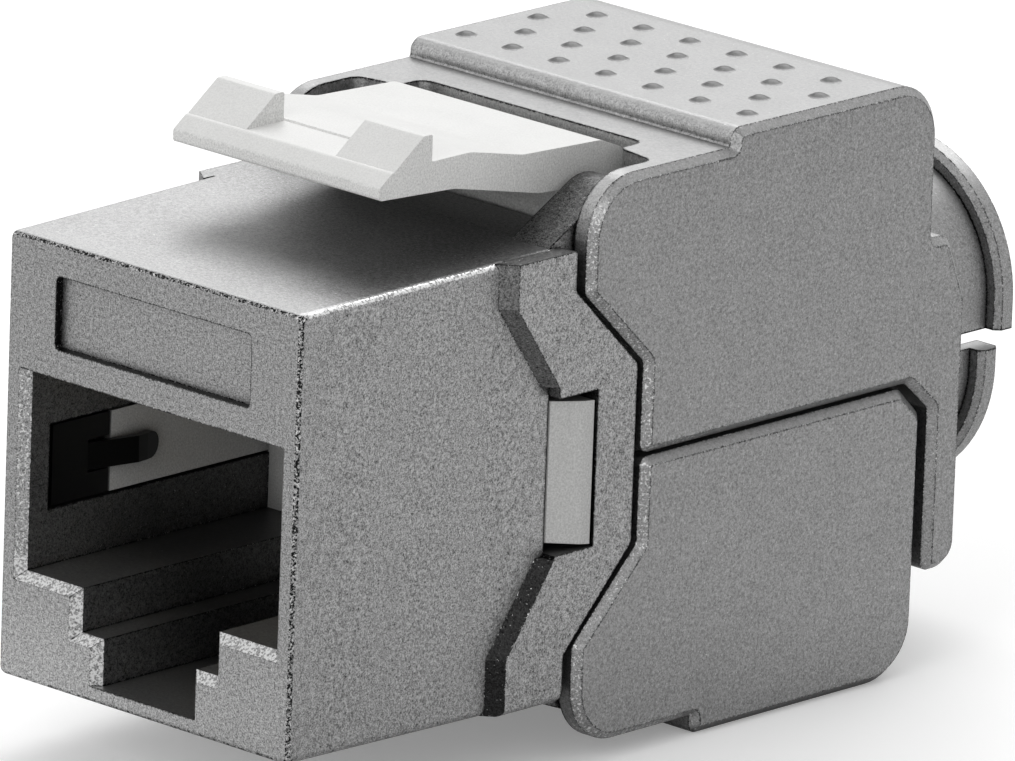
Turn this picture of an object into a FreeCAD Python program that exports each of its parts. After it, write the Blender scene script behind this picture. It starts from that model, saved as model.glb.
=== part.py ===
"""Shielded toolless keystone jack: a die-cast front shell with a modular plug port, two hinged rear
covers that close on the cable, a sprung keystone latch, and the contact and wiring insert inside.

Frame: X across, Y from the front face towards the cable, Z up. The origin lies in the front face, on
the centre plane, level with the underside of the front body. All lengths are in millimetres.
"""
import FreeCAD
import Part
import math
import os

V = FreeCAD.Vector

# ---- front body ----------------------------------------------------------------------------------
FRONT_WIDTH = 14.5
FRONT_HEIGHT = 16.5
FRONT_DRAFT = 0.015          # each side leans out by this much per mm of depth
FRONT_EDGE_R = 0.3           # small round on the front and long edges
SHELL_WALL = 0.8             # wall of the tube behind the plug port
SHELL_LIP = 0.2              # the tube ends this far behind the insert, inside the covers

# ---- side flange and its snap window -------------------------------------------------------------
FLANGE_PROUD = 0.75          # how far it stands out from the body's side
FLANGE_FRONT = 10.3          # front edge above and below the slanted stretches
FLANGE_REAR = 13.25          # rear edge above and below the slanted stretches
FLANGE_MID_REAR = 16.6       # rear edge at mid height
FLANGE_LOW = -0.1
FLANGE_RAMP = 0.55           # above and below the window its front slopes down over this length
FLANGE_EDGE_R = 0.3          # round along its lower edges
REAR_KNEE_LOW = 5.2          # heights where its rear edge turns
REAR_KNEE_TOP = 11.9
REAR_END_LOW = 1.65
REAR_END_DROP = 1.35         # body's top to the upper end of the slanted stretch
WINDOW_LENGTH = 2.0
WINDOW_LOW = 5.45
WINDOW_TOP = 11.3

# ---- plug port -----------------------------------------------------------------------------------
PORT_SIDE_WALL = 1.0         # wall each side of the port
PORT_TOP = 11.53
PORT_LEDGE = 4.0             # floor each side of the plug's tab
KEY_WIDTH = 6.8
KEY_LEDGE = 2.35
TAB_WIDTH = 4.6
TAB_FLOOR = 0.6
PORT_DEPTH = 12.6            # front face to the insert
MOUTH_BEVEL = 0.35           # bevel of the sides and ledges at the port's mouth
BEZEL = 1.8                  # thickness of the front wall above the port
CHAMBER_INSET = 0.25         # the room above the port, for the contact carrier, is narrower by this each side
LABEL_WIDTH = 9.7
LABEL_LOW = 12.6
LABEL_TOP = 15.3
LABEL_DEPTH = 0.3

# ---- rear covers ---------------------------------------------------------------------------------
COVER_PROUD = 0.25           # the covers stand out from the flange by this
COVER_WALL = 0.9
COVER_EDGE = 0.3             # bevel round the side faces
COVER_FRONT_GAP = 0.35       # flange to the covers
PIVOT_Y = 16.2
PIVOT_RISE = 0.3             # body's top to the upper pivot
LOWER_PIVOT_Z = 0.3
CHEEK_R = 2.45               # pivot to the front of each cover
SHOULDER = 2.3               # pivot to the flat just behind that corner
PAD_RISE = 0.7               # the gripping pad stands this far above the shoulder
PAD_FRONT = 21.1
LOWER_PAD_FRONT = 20.1
MANAGER_ROOM = 0.72          # wire manager to the covers' rear wall
REAR_STEP = 0.28             # the lower cover ends this far short of the upper one
REAR_WALL = 0.8
SEAM_GAP = 0.15
SEAM_END_Z = 7.3             # the seam slants down to this height at its rear end
SEAM_END_RUN = 1.3
TONGUE_THICK = 0.3           # strip inside the lower cover that closes the seam
TONGUE_RISE = 0.7
TAIL_THICK = 1.67            # legs behind the lower cover
TAIL_LOW = 1.05
TAIL_TOP = 13.75
TAIL_SLOPE = 2.5             # height of the slanted corner at the legs' top
REAR_GAP = 0.53              # lower cover's rear face to the legs
TRUNNION_R = 1.0
TRUNNION_LENGTH = 0.6
RUNNING_GAP = 0.05           # radial, every pivot
SIDE_GAP = 0.12              # sideways, every moving piece

# ---- cable collar --------------------------------------------------------------------------------
CABLE_Z = 8.5
CABLE_R = 4.2
UPPER_RIM_R = 5.4            # round of the upper half's rim, on a centre above the cable's axis
UPPER_RIM_Z = 9.5
LOWER_RIM_R = 5.3
LOWER_RIM_Z = 7.05
RIM_STEP = 0.6               # rim above the neck
RIM_LENGTH = 1.0
RIM_BEVEL = 0.22
COLLAR_REACH = 7.85          # rear face to the upper half's end
LOWER_COLLAR_STEP = 0.7      # the lower half is shorter by this
UPPER_COLLAR_LOW = -0.12     # each half's edge, above the cable's axis and below it
LOWER_COLLAR_TOP = 0.77

# ---- hinge lugs and the latch --------------------------------------------------------------------
LUG_R = 1.7
LUG_THICK = 1.83
RAMP_START = 12.2
SLOT_END = 19.2              # the opening for the latch ends here
EAR_END = 17.65              # the opening beside the cheeks, over the lugs, ends here
SLOT_SIDE_GAP = 0.38         # latch to the opening's sides
LIP_THICK = 0.6              # thinned edge behind the latch
LIP_LENGTH = 0.8
LATCH_SIDE_GAP = 0.28        # latch to the lugs
LATCH_PIVOT_Y = 17.2
LATCH_PIVOT_RISE = 0.1       # body's top to the latch's pivot
LATCH_ROOT_R = 1.15
LATCH_PIN_R = 0.5
LATCH_PIN_LENGTH = 0.6
LATCH_RISE = 3.55            # pivot to the arm's flat top, from which the drops below are measured
LATCH_TIP_Y = 5.95           # foremost end
LATCH_TIP_RUN = 0.65
LATCH_TIP_DROP = 0.55
LATCH_TIP_THICK = 1.0
LATCH_CREASE_Y = 8.62        # small step across the arm behind the teeth
LATCH_CREASE_DROP = 0.07
LATCH_FLAT_END = 10.6
LATCH_BEND_Y = 13.3          # where the fall levels out
LATCH_BEND_DROP = 0.57
LATCH_HEEL_Y = 17.35
LATCH_HEEL_DROP = 0.73
LATCH_REAR = 18.6
LATCH_REAR_DROP = 1.23
LATCH_ROOT_FRONT = 16.1
LATCH_ROOT_REAR = 18.3
LATCH_NECK_Y = 15.9          # underside in front of the root
LATCH_NECK_DROP = 2.25
LATCH_BELLY_Y = 14.2
LATCH_BELLY_DROP = 2.15
LATCH_SOLE_Y = 9.8
LATCH_SOLE_DROP = 1.2
TOOTH_WIDTH = 2.9
TOOTH_HEIGHT = 1.0
TOOTH_FRONT = 6.3
TOOTH_CREST_Y = 8.15
TOOTH_REAR = 8.6
TOOTH_ROOT_DROP = 0.35
CATCH_WIDTH = 9.3            # fixed ridge under the front body
CATCH_FRONT = 6.3
CATCH_LENGTH = 1.1
CATCH_HEIGHT = 1.15

# ---- insert, contacts and wiring -----------------------------------------------------------------
FIT_GAP = 0.1                # insert in the tube, all round
INSERT_LENGTH = 5.2
TAB_TIP_INSET = 0.08         # snap wedge's crest below the flange's face
TAB_END_GAP = 0.1            # snap wedge to the window's ends
TAB_TAPER = 0.3              # its ends slant by this much
ARM_FRONT = 4.45             # foremost end of the insert's side arms
CARRIER_FRONT = 2.0
CARRIER_HEIGHT = 2.8
CONTACT_COUNT = 8
CONTACT_PITCH = 1.016
CONTACT_WIDTH = 0.45
CONTACT_THICK = 0.3
CONTACT_BEND_Y = 4.3         # foremost point of the bend
CONTACT_TIP_GAP = 1.7        # contact's lowest point to the insert
CONTACT_TIP_Z = 8.75
BOARD_THICK = 1.2
BOARD_GAP = 0.2
BLOCK_LENGTH = 5.6
BLOCK_HEIGHT = 10.2
BLOCK_INSET = 0.03           # block's side within the insert's
WIRE_PITCH = 3.0
WIRE_ROWS = 4
GROOVE_WIDTH = 1.5
GROOVE_DEPTH = 3.0
BLADE_THICK = 0.4
BLADE_WIDTH = 2.2
BLADE_SLIT = 0.35
BLADE_BACK = 2.8             # block's front face to the blade
BLADE_INSET = 0.6            # blade's edge below the block's face
MANAGER_LENGTH = 5.0
MANAGER_GAP = 0.25
CORE_POCKET_R = 3.9
RIB_WIDTH = 1.1
WIRE_SPACE = 1.3             # room for a conductor under the pressing ribs
PLATE_THICK = 1.2
SPRING_THICK = 0.25
SPRING_HEIGHT = 3.0
SPRING_POCKET = 0.5          # depth of the groove in the port's side wall
SPRING_POCKET_FRONT = 1.3
SPRING_BULGE = 0.45          # how far the finger stands into the port
FINGER_HEIGHT = 1.0
FINGER_ROOT_Y = 3.3
FINGER_TIP_Y = 6.6

# ---- places worked out from the sizes above ------------------------------------------------------
HALF_FRONT = FRONT_WIDTH / 2
HALF_PORT = HALF_FRONT - PORT_SIDE_WALL
HALF_CHAMBER = HALF_PORT - CHAMBER_INSET
HALF_FLANGE = HALF_FRONT + FLANGE_PROUD
HALF_COVER = HALF_FLANGE + COVER_PROUD
REAR_END_TOP = FRONT_HEIGHT - REAR_END_DROP
UPPER_PIVOT_Z = FRONT_HEIGHT + PIVOT_RISE
LATCH_PIVOT_Z = FRONT_HEIGHT + LATCH_PIVOT_RISE
LATCH_TOP = LATCH_PIVOT_Z + LATCH_RISE
CHEEK_INNER_X = HALF_COVER - COVER_WALL
TUBE_X = CHEEK_INNER_X - SIDE_GAP
LUG_INNER_X = TUBE_X - LUG_THICK
HALF_LATCH = LUG_INNER_X - LATCH_SIDE_GAP
BAY_X = TUBE_X - SHELL_WALL
BAY_LOW = 1.0
BAY_TOP = FRONT_HEIGHT - 1.2
INSERT_X = BAY_X - FIT_GAP
HALF_BLOCK = INSERT_X - BLOCK_INSET
INSERT_LOW = BAY_LOW + FIT_GAP
INSERT_TOP = BAY_TOP - FIT_GAP
INSERT_REAR = PORT_DEPTH + INSERT_LENGTH
SHELL_REAR = INSERT_REAR + SHELL_LIP
FLANGE_MID_FRONT = PORT_DEPTH
CONTACT_TIP_Y = PORT_DEPTH - CONTACT_TIP_GAP
BOARD_FRONT = INSERT_REAR + BOARD_GAP
BOARD_REAR = BOARD_FRONT + BOARD_THICK
BLOCK_FRONT = BOARD_REAR + BOARD_GAP
BLOCK_REAR = BLOCK_FRONT + BLOCK_LENGTH
BLOCK_TOP = CABLE_Z + BLOCK_HEIGHT / 2
GROOVE_FLOOR = BLOCK_TOP - GROOVE_DEPTH
MANAGER_FRONT = BLOCK_REAR + MANAGER_GAP
MANAGER_REAR = MANAGER_FRONT + MANAGER_LENGTH
BLADE_Y = BLOCK_FRONT + BLADE_BACK
SEAM_Z = CABLE_Z - 0.05
COVER_FRONT = PIVOT_Y - CHEEK_R
COVER_SEAM_FRONT = FLANGE_MID_REAR + COVER_FRONT_GAP
UPPER_SHOULDER_Z = UPPER_PIVOT_Z + SHOULDER
UPPER_PAD_Z = UPPER_SHOULDER_Z + PAD_RISE
LOWER_SHOULDER_Z = LOWER_PIVOT_Z - SHOULDER
LOWER_PAD_Z = LOWER_SHOULDER_Z - PAD_RISE
REAR_WALL_FRONT = MANAGER_REAR + MANAGER_ROOM
LOWER_REAR = REAR_WALL_FRONT + REAR_WALL
COVER_REAR = LOWER_REAR + REAR_STEP
COLLAR_END = COVER_REAR + COLLAR_REACH
LOWER_COLLAR_END = COLLAR_END - LOWER_COLLAR_STEP
TAIL_FRONT = LOWER_REAR + REAR_GAP
TAIL_REAR = TAIL_FRONT + TAIL_THICK
LEG_INNER_X = UPPER_RIM_R + SIDE_GAP
SPRING_MID_Z = (PORT_LEDGE + PORT_TOP) / 2 - 0.1
CARRIER_TOP = BAY_TOP - FIT_GAP
CARRIER_LOW = CARRIER_TOP - CARRIER_HEIGHT
CARRIER_X = HALF_CHAMBER - FIT_GAP
CONTACT_TOP_Z = CARRIER_LOW + 1.1


# ---- helpers -------------------------------------------------------------------------------------
def box(x0, x1, y0, y1, z0, z1):
    return Part.makeBox(x1 - x0, y1 - y0, z1 - z0, V(x0, y0, z0))


def both_sides(shape):
    """The shape and its mirror image across the centre plane."""
    return [shape, shape.mirror(V(0, 0, 0), V(1, 0, 0))]


def flip_z(shape):
    """The shape mirrored across the level of the cable's axis."""
    return shape.mirror(V(0, 0, CABLE_Z), V(0, 0, 1))


def rounded_wire(corners, place):
    """A closed outline from (u, v, radius) corners, each rounded by a tangent arc, set in space by place."""
    pieces = []
    count = len(corners)
    for index in range(count):
        u, v, radius = corners[index]
        here = V(u, v, 0)
        before = V(corners[index - 1][0], corners[index - 1][1], 0) - here
        after = V(corners[(index + 1) % count][0], corners[(index + 1) % count][1], 0) - here
        before.normalize()
        after.normalize()
        if radius <= 0:
            pieces.append((here, here, here))
            continue
        half = before.getAngle(after) / 2
        reach = radius / math.tan(half)
        bisector = before + after
        bisector.normalize()
        middle = here + bisector * (radius / math.sin(half) - radius)
        pieces.append((here + before * reach, middle, here + after * reach))
    edges = []
    for index in range(count):
        start, middle, end = pieces[index]
        if (end - start).Length > 1e-6:
            edges.append(Part.Arc(place(start), place(middle), place(end)).toShape())
        following = pieces[(index + 1) % count][0]
        if (following - end).Length > 1e-6:
            edges.append(Part.LineSegment(place(end), place(following)).toShape())
    return Part.Wire(edges)


def prism_x(corners, x0, x1):
    """A side-view outline in Y and Z, drawn out along X."""
    wire = rounded_wire(corners, lambda p: V(x0, p.x, p.y))
    return Part.Face(wire).extrude(V(x1 - x0, 0, 0))


def prism_y(corners, y0, y1):
    """A front-view outline in X and Z, drawn out along Y."""
    wire = rounded_wire(corners, lambda p: V(p.x, y0, p.y))
    return Part.Face(wire).extrude(V(0, y1 - y0, 0))


def prism_z(corners, z0, z1):
    """A plan outline in X and Y, drawn out along Z."""
    wire = rounded_wire(corners, lambda p: V(p.x, p.y, z0))
    return Part.Face(wire).extrude(V(0, 0, z1 - z0))


def rod_x(radius, x0, x1, y, z):
    return Part.makeCylinder(radius, x1 - x0, V(x0, y, z), V(1, 0, 0))


def rod_y(radius, y0, y1, z):
    return Part.makeCylinder(radius, y1 - y0, V(0, y0, z), V(0, 1, 0))


def rounded_box_outline(half_width, low, top, radius):
    return [(-half_width, low, radius), (half_width, low, radius),
            (half_width, top, radius), (-half_width, top, radius)]


def strip(points, thick, x0, x1):
    """A bent strip of even thickness: its centre line in Y and Z, drawn out along X."""
    left, right = [], []
    count = len(points)
    for index in range(count):
        here = V(points[index][0], points[index][1], 0)
        ahead = V(points[min(index + 1, count - 1)][0], points[min(index + 1, count - 1)][1], 0) - here
        behind = here - V(points[max(index - 1, 0)][0], points[max(index - 1, 0)][1], 0)
        if ahead.Length < 1e-9:
            ahead = behind
        if behind.Length < 1e-9:
            behind = ahead
        ahead.normalize()
        behind.normalize()
        across = V(-(ahead.y + behind.y), ahead.x + behind.x, 0)
        across.normalize()
        reach = thick / 2 / max(0.3, across.dot(V(-ahead.y, ahead.x, 0)))
        left.append(here + across * reach)
        right.append(here - across * reach)
    loop = left + right[::-1]
    return prism_x([(p.x, p.y, 0) for p in loop], x0, x1)


def round_edges(shape, radius, pick):
    """Round the straight edges that pick accepts, given each edge's middle and direction."""
    chosen = []
    for edge in shape.Edges:
        if len(edge.Vertexes) != 2:
            continue
        start, end = edge.Vertexes[0].Point, edge.Vertexes[1].Point
        if pick((start + end) * 0.5, end - start):
            chosen.append(edge)
    return shape.makeFillet(radius, chosen) if chosen else shape


# ---- front shell ---------------------------------------------------------------------------------
def front_block():
    """The plain front body, a little larger at the back than at the front face."""
    length = FLANGE_MID_FRONT + 0.2
    grow = FRONT_DRAFT * length
    block = Part.makeWedge(-HALF_FRONT, 0, 0, -grow, -HALF_FRONT - grow,
                           HALF_FRONT, length, FRONT_HEIGHT, FRONT_HEIGHT + grow, HALF_FRONT + grow)
    block = round_edges(block, FRONT_EDGE_R, lambda middle, along: abs(along.y) > length / 2)
    return block.makeFillet(FRONT_EDGE_R * 0.7, [e for e in block.Edges if e.BoundBox.YMax < 1e-6])


def flange():
    """The thicker band with slanted edges that the covers close against, its front sloping to the body."""
    low, top = FLANGE_LOW, FRONT_HEIGHT + FRONT_DRAFT * FLANGE_FRONT
    front = [(FLANGE_FRONT, top, 0), (FLANGE_FRONT, REAR_END_TOP - 0.15, 0),
             (FLANGE_MID_FRONT, REAR_KNEE_TOP - 0.2, 0), (FLANGE_MID_FRONT, REAR_KNEE_LOW + 0.1, 0),
             (FLANGE_FRONT, REAR_END_LOW + 0.35, 0), (FLANGE_FRONT, low, 0)]
    rear = [(FLANGE_REAR, low, 0.5), (FLANGE_REAR, REAR_END_LOW, 0.3), (FLANGE_MID_REAR, REAR_KNEE_LOW, 0.3),
            (FLANGE_MID_REAR, REAR_KNEE_TOP, 0.3), (FLANGE_REAR, REAR_END_TOP, 0.3), (FLANGE_REAR, top, 0.15)]
    band = prism_x(front + rear, -HALF_FLANGE, HALF_FLANGE)
    back = [(FLANGE_REAR, low, 0), (FLANGE_REAR, top, 0)]
    slope = rounded_wire(front + back, lambda p: V(HALF_FLANGE, p.x, p.y))
    ramp = Part.Face(slope).extrude(V(HALF_FRONT - HALF_FLANGE, -FLANGE_RAMP, 0))
    beside_window = box(HALF_FRONT, HALF_FLANGE + 1, FLANGE_MID_FRONT - FLANGE_RAMP - 1, FLANGE_MID_FRONT,
                        REAR_KNEE_LOW + 0.1, REAR_KNEE_TOP - 0.2)
    ramp = ramp.cut(beside_window)
    section = [(-HALF_FLANGE, low, FLANGE_EDGE_R), (HALF_FLANGE, low, FLANGE_EDGE_R), (HALF_FLANGE, top, 0),
               (-HALF_FLANGE, top, 0)]
    return band.fuse(both_sides(ramp)).common(prism_y(section, 0, FLANGE_MID_REAR + 1))


def hinge_lug(pivot_z, deck_z, upwards):
    """One lug of the right side with its outward trunnion, and a ramp down to the body in front of it."""
    sign = 1 if upwards else -1
    barrel = rod_x(LUG_R, LUG_INNER_X, TUBE_X, PIVOT_Y, pivot_z)
    run = PIVOT_Y - RAMP_START
    rise = sign * (deck_z - pivot_z)
    slant = math.atan2(-rise, run) + math.asin(LUG_R / math.hypot(run, rise))
    touch_y = PIVOT_Y - LUG_R * math.sin(slant)
    touch_z = pivot_z + sign * LUG_R * math.cos(slant)
    root_z = deck_z - sign * 0.9
    ramp = [(RAMP_START, deck_z, 0), (touch_y, touch_z, 0), (PIVOT_Y, pivot_z, 0),
            (PIVOT_Y + LUG_R, pivot_z, 0), (PIVOT_Y + LUG_R, root_z, 0), (RAMP_START, root_z, 0)]
    lug = barrel.fuse(prism_x(ramp, LUG_INNER_X, TUBE_X))
    trunnion = rod_x(TRUNNION_R, TUBE_X - 0.2, TUBE_X + TRUNNION_LENGTH, PIVOT_Y, pivot_z)
    return lug.fuse(trunnion)


def latch_bearing():
    """The boss on the right upper lug's inner end round the hole for the latch's pin."""
    outer_x = LUG_INNER_X + LATCH_PIN_LENGTH + 0.4
    radius = LATCH_PIN_R + RUNNING_GAP + 0.3
    boss = rod_x(radius, LUG_INNER_X, outer_x, LATCH_PIVOT_Y, LATCH_PIVOT_Z)
    foot = box(LUG_INNER_X, outer_x, PIVOT_Y, LATCH_PIVOT_Y + radius, BAY_TOP + 0.2, LATCH_PIVOT_Z)
    return boss.fuse(foot)


def bezel_chamfer():
    """A tool that breaks the edge of the port's mouth, following its steps."""
    wires = [rounded_wire(port_outline(MOUTH_BEVEL), lambda p: V(p.x, 0, p.y)),
             rounded_wire(port_outline(0.0), lambda p: V(p.x, MOUTH_BEVEL, p.y))]
    return Part.makeLoft(wires, True, True)


def port_outline(grow):
    """The stepped front-view outline of the plug port, its sides and ledges moved out by grow."""
    half, key, tab = HALF_PORT + grow, KEY_WIDTH / 2 + grow, TAB_WIDTH / 2 + grow
    ledge, step = PORT_LEDGE - grow, KEY_LEDGE - grow
    right = [(tab, TAB_FLOOR, 0), (tab, step, 0), (key, step, 0), (key, ledge, 0), (half, ledge, 0),
             (half, PORT_TOP, 0)]
    left = [(-x, z, r) for x, z, r in reversed(right)]
    return right + left


def spring_pocket():
    """The groove in the right side wall for the shield spring and the insert's arm, open at the back."""
    half = SPRING_HEIGHT / 2 + FIT_GAP
    return box(HALF_PORT - 0.1, HALF_PORT + SPRING_POCKET, SPRING_POCKET_FRONT, SHELL_REAR + 1,
               SPRING_MID_Z - half, SPRING_MID_Z + half)


def front_housing():
    tube_low, tube_top = 0.0, FRONT_HEIGHT
    tube = box(-TUBE_X, TUBE_X, FLANGE_FRONT, SHELL_REAR, tube_low, tube_top)
    shell = front_block().fuse([flange(), tube])
    lugs = both_sides(hinge_lug(UPPER_PIVOT_Z, tube_top, True))
    lugs += both_sides(hinge_lug(LOWER_PIVOT_Z, tube_low, False))
    lugs += both_sides(latch_bearing())
    catch_rear = CATCH_FRONT + CATCH_LENGTH
    catch_low = -CATCH_HEIGHT
    catch = prism_x([(CATCH_FRONT - 1.0, 0.2, 0), (CATCH_FRONT, catch_low, 0.2), (catch_rear, catch_low, 0.2),
                     (catch_rear, 0.2, 0)], -CATCH_WIDTH / 2, CATCH_WIDTH / 2)
    shell = shell.fuse(lugs + [catch])

    port = prism_y(port_outline(0.0), -1, PORT_DEPTH + 0.1)
    chamber = box(-HALF_CHAMBER, HALF_CHAMBER, BEZEL, PORT_DEPTH + 1, PORT_TOP - 1, BAY_TOP)
    bay = box(-BAY_X, BAY_X, PORT_DEPTH, SHELL_REAR + 1, BAY_LOW, BAY_TOP)
    latch_room = box(-LUG_INNER_X, LUG_INNER_X, LATCH_PIVOT_Y - LATCH_ROOT_R - 0.3, SHELL_REAR + 1,
                     BAY_TOP - 0.1, FRONT_HEIGHT + 1)
    label = prism_y(rounded_box_outline(LABEL_WIDTH / 2, LABEL_LOW, LABEL_TOP, 0.2), -1, LABEL_DEPTH)
    cuts = [port, chamber, bay, latch_room, label, bezel_chamfer()]
    window = box(BAY_X - 0.5, HALF_FLANGE + 1, FLANGE_MID_FRONT, FLANGE_MID_FRONT + WINDOW_LENGTH,
                 WINDOW_LOW, WINDOW_TOP)
    cuts += both_sides(window) + both_sides(spring_pocket())
    pin_hole = rod_x(LATCH_PIN_R + RUNNING_GAP, LUG_INNER_X - 1, LUG_INNER_X + LATCH_PIN_LENGTH + 0.1,
                     LATCH_PIVOT_Y, LATCH_PIVOT_Z)
    cuts += both_sides(pin_hole)
    return shell.cut(cuts)


# ---- rear covers ---------------------------------------------------------------------------------
def half_collar(radius, centre_z, edge_z, end):
    """Half of the cable collar with its end rim: a round outer end and straight sides up to its edge."""
    upwards = 1 if centre_z > edge_z else -1

    def half_round(half_width, y0, y1):
        crown = centre_z + upwards * half_width
        corners = [(-half_width, edge_z, 0), (half_width, edge_z, 0), (half_width, crown, half_width - 0.001),
                   (-half_width, crown, half_width - 0.001)]
        return prism_y(corners, y0, y1)

    rim = half_round(radius, end - RIM_LENGTH, end)
    rounds = [e for e in rim.Edges if e.BoundBox.YLength < 1e-6 and e.BoundBox.ZLength > 1e-6]
    rim = rim.makeChamfer(RIM_BEVEL, rounds)
    return rim.fuse(half_round(radius - RIM_STEP, REAR_WALL_FRONT, end - RIM_LENGTH / 2))


def cover_bore(start, end):
    return rod_y(CABLE_R, start - 1, end + 1, CABLE_Z)


def cover_pivot_hole(pivot_z):
    depth = TRUNNION_LENGTH - SIDE_GAP + 0.1
    return rod_x(TRUNNION_R + RUNNING_GAP, CHEEK_INNER_X - 1, CHEEK_INNER_X + depth, PIVOT_Y, pivot_z)


def slot_outline():
    """Plan of the opening between a cover's cheeks, which leaves room for the lugs and the latch."""
    half = HALF_LATCH + SLOT_SIDE_GAP
    right = [(CHEEK_INNER_X, COVER_FRONT - 1, 0), (CHEEK_INNER_X, EAR_END, 0.5), (half, EAR_END + 0.3, 0.3),
             (half, SLOT_END, 0.5)]
    return right + [(-x, y, r) for x, y, r in reversed(right)]


def upper_cover():
    top, shoulder = UPPER_PAD_Z, UPPER_SHOULDER_Z
    outline = [(COVER_SEAM_FRONT, SEAM_Z, 0.4), (COVER_SEAM_FRONT, REAR_KNEE_TOP, 0.4),
               (COVER_FRONT, REAR_END_TOP - 0.2, 0.4), (COVER_FRONT, shoulder, SHOULDER - 0.05),
               (PAD_FRONT, shoulder, 0.1), (PAD_FRONT, top, 0.5), (COVER_REAR, top, 2.1),
               (COVER_REAR, TAIL_TOP, 0.2), (TAIL_REAR - TAIL_THICK * 0.6, TAIL_TOP, 0.6),
               (TAIL_REAR, TAIL_TOP - TAIL_SLOPE, 1.2), (TAIL_REAR, TAIL_LOW, 1.0),
               (TAIL_FRONT, TAIL_LOW, 0.35), (TAIL_FRONT, SEAM_END_Z, 0.3),
               (TAIL_FRONT - SEAM_END_RUN, SEAM_Z, 0.4)]
    body = bevel_side_rims(prism_x(outline, -HALF_COVER, HALF_COVER))
    roof = top - COVER_WALL
    ceiling = shoulder - COVER_WALL
    below = TAIL_LOW - 1
    cavity = [(COVER_FRONT - 2, below, 0), (COVER_FRONT - 2, ceiling, 0),
              (PAD_FRONT + COVER_WALL, ceiling, 0), (PAD_FRONT + COVER_WALL, roof, 0),
              (REAR_WALL_FRONT, roof, 0.9), (REAR_WALL_FRONT, below, 0)]
    slot = prism_z(slot_outline(), CABLE_Z, top + 1)
    lip_room = box(-HALF_LATCH, HALF_LATCH, SLOT_END - 1, SLOT_END + LIP_LENGTH, ceiling - 1,
                   shoulder - LIP_THICK)
    between_legs = box(-LEG_INNER_X, LEG_INNER_X, REAR_WALL_FRONT, TAIL_REAR + 1, below,
                       CABLE_Z + UPPER_COLLAR_LOW)
    body = body.cut([prism_x(cavity, -CHEEK_INNER_X, CHEEK_INNER_X), slot, lip_room, between_legs])
    body = body.fuse(half_collar(UPPER_RIM_R, UPPER_RIM_Z, CABLE_Z + UPPER_COLLAR_LOW, COLLAR_END))
    return body.cut([cover_bore(REAR_WALL_FRONT, COLLAR_END)] + both_sides(cover_pivot_hole(UPPER_PIVOT_Z)))


def lower_cover():
    low, shoulder = LOWER_PAD_Z, LOWER_SHOULDER_Z
    top = SEAM_Z - SEAM_GAP
    outline = [(COVER_SEAM_FRONT, top, 0.4), (COVER_SEAM_FRONT, REAR_KNEE_LOW - 0.1, 0.4),
               (COVER_FRONT, REAR_END_LOW + 0.2, 0.4), (COVER_FRONT, shoulder, SHOULDER - 0.05),
               (LOWER_PAD_FRONT, shoulder, 0.1), (LOWER_PAD_FRONT, low, 0.35),
               (LOWER_REAR, low, 2.2), (LOWER_REAR, SEAM_END_Z - 0.1, 0.4),
               (LOWER_REAR - SEAM_END_RUN + 0.2, top, 0.4)]
    body = bevel_side_rims(prism_x(outline, -HALF_COVER, HALF_COVER))
    floor = low + COVER_WALL
    deck = shoulder + COVER_WALL
    cavity = [(COVER_FRONT - 2, UPPER_PAD_Z, 0), (COVER_FRONT - 2, deck, 0),
              (LOWER_PAD_FRONT + COVER_WALL, deck, 0), (LOWER_PAD_FRONT + COVER_WALL, floor, 0),
              (REAR_WALL_FRONT, floor, 1.4), (REAR_WALL_FRONT, UPPER_PAD_Z, 0)]
    slot = prism_z(slot_outline(), low - 1, CABLE_Z)
    body = body.cut([prism_x(cavity, -CHEEK_INNER_X, CHEEK_INNER_X), slot])
    collar = half_collar(LOWER_RIM_R, LOWER_RIM_Z, CABLE_Z - LOWER_COLLAR_TOP, LOWER_COLLAR_END)
    tongue = box(CHEEK_INNER_X - SIDE_GAP - TONGUE_THICK, CHEEK_INNER_X - SIDE_GAP, SHELL_REAR + 0.3,
                 REAR_WALL_FRONT, top - TONGUE_RISE, top + TONGUE_RISE)
    tongue_root = box(CHEEK_INNER_X - SIDE_GAP - TONGUE_THICK, CHEEK_INNER_X + 0.1, SHELL_REAR + 0.3,
                      REAR_WALL_FRONT, top - TONGUE_RISE, top - 0.2)
    body = body.fuse([collar] + both_sides(tongue.fuse(tongue_root)))
    return body.cut([cover_bore(REAR_WALL_FRONT, COLLAR_END)] + both_sides(cover_pivot_hole(LOWER_PIVOT_Z)))


def bevel_side_rims(body):
    """Bevel the rims between a cover's side faces and its outline."""
    rims = [e for e in body.Edges if e.BoundBox.XLength < 1e-6]
    return body.makeChamfer(COVER_EDGE, rims)


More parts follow.
